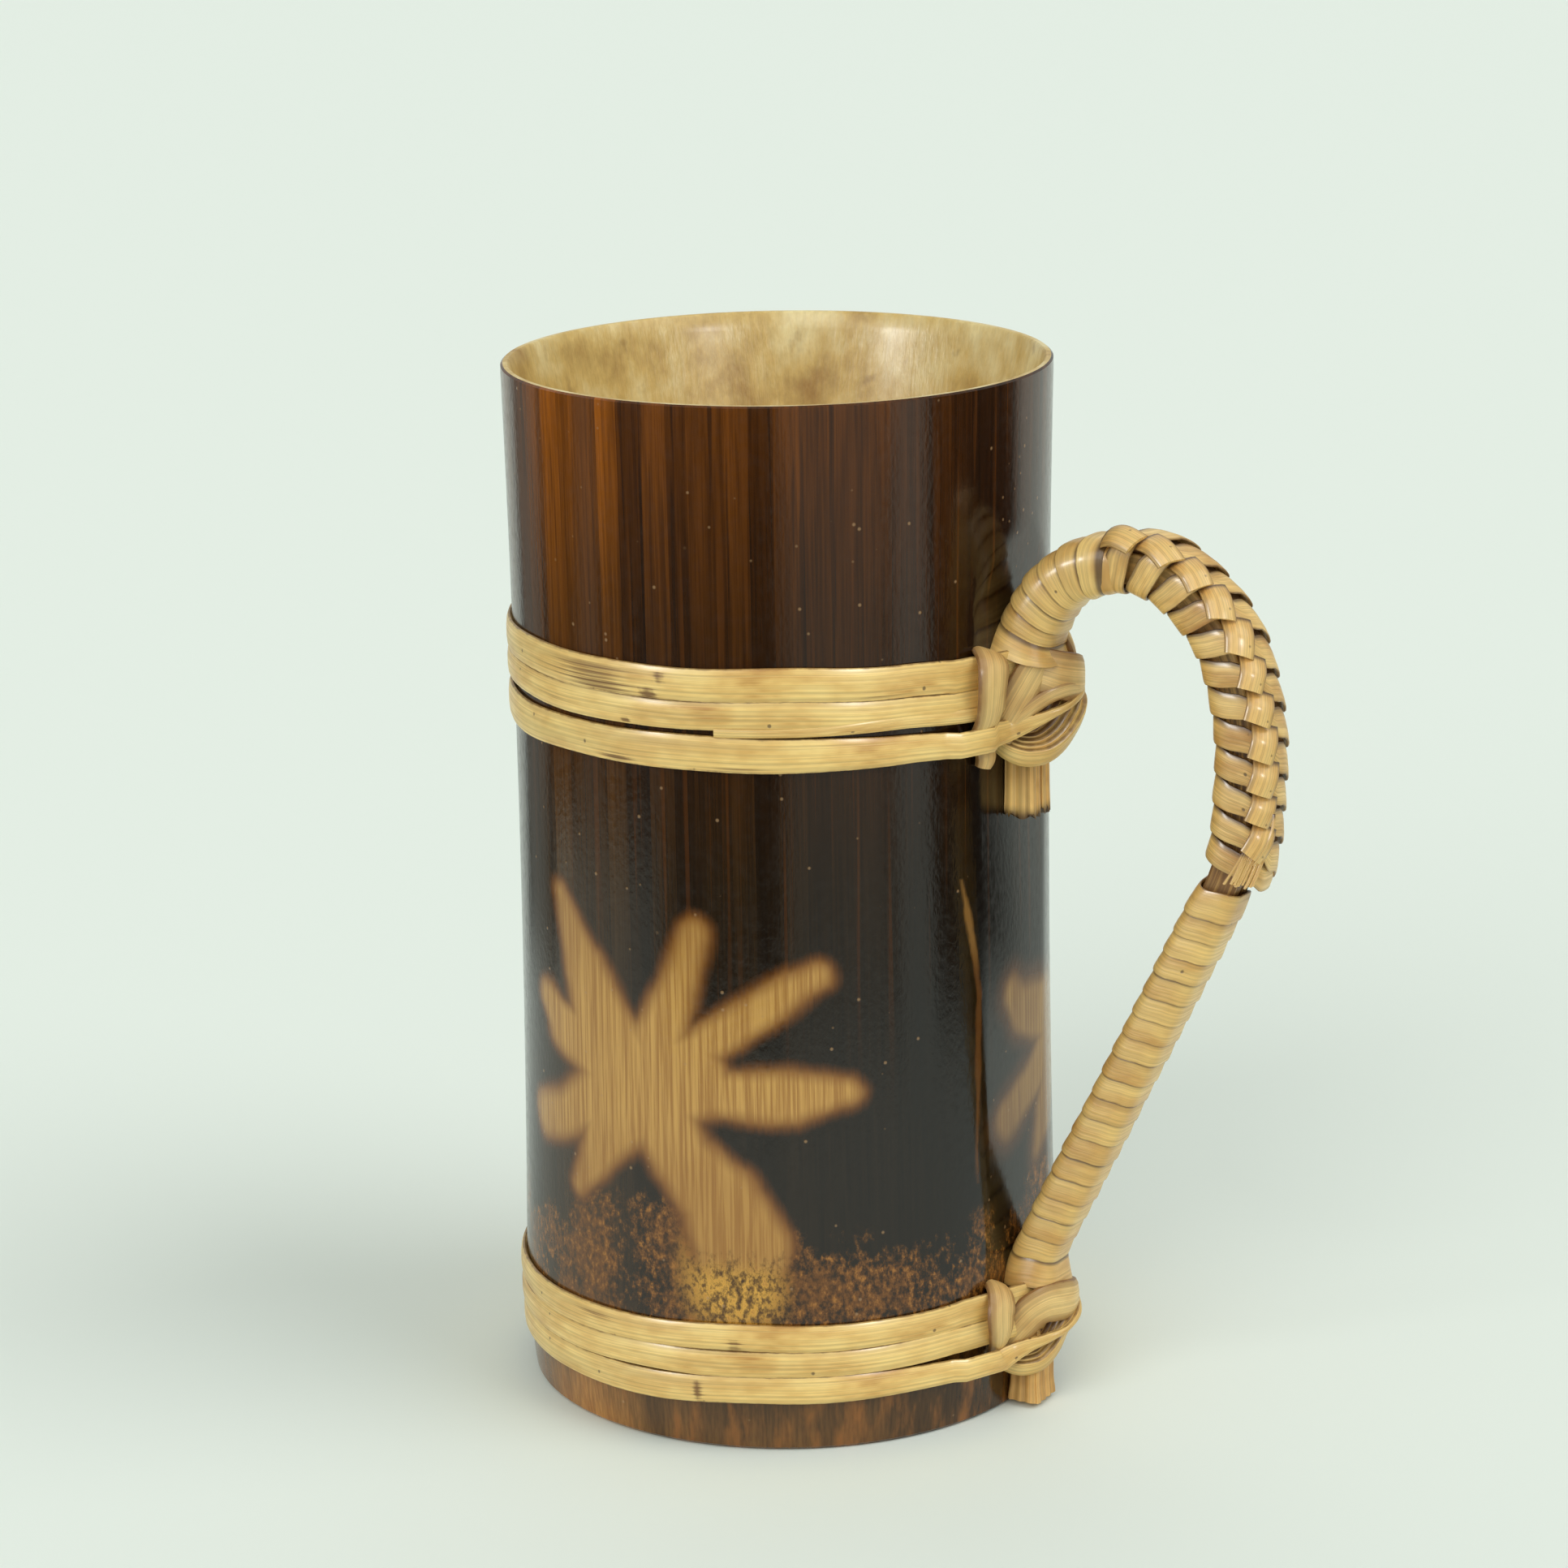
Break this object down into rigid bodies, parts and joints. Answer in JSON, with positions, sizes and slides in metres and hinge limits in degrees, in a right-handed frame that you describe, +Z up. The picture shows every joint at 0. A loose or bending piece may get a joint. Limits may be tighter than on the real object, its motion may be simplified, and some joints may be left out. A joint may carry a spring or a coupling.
{
  "type": "bamboo mug",
  "caption": "Tall drinking mug made from one lacquered bamboo culm with a node floor, rattan hoops and a looped cane handle bound with plain and braided rattan strip",
  "frame": {"origin": "centre of the round base, on the surface that the mug stands on", "axes": "+Z up along the culm's axis, +X out through the middle of the handle"},
  "size_m": [0.1199, 0.0808, 0.15],
  "materials": {
    "lacquered_bamboo": "gloss",
    "rattan_strip": "satin",
    "split_cane": "matte"
  },
  "bodies": {
    "root": {"culm_cup": "lacquered_bamboo", "handle_cane_near": "split_cane", "handle_cane_far": "split_cane", "grip_splint": "split_cane", "upper_handle_wrap": "rattan_strip", "braid_wrap": "rattan_strip", "braid_rider": "rattan_strip", "lower_handle_wrap": "rattan_strip", "upper_hoop": "rattan_strip", "upper_hoop_tuck_end": "rattan_strip", "upper_keeper": "rattan_strip", "upper_cross_tie": "rattan_strip", "upper_second_tie": "rattan_strip", "lower_hoop": "rattan_strip", "lower_keeper": "rattan_strip", "lower_cross_tie": "rattan_strip"}
  },
  "joints": []
}
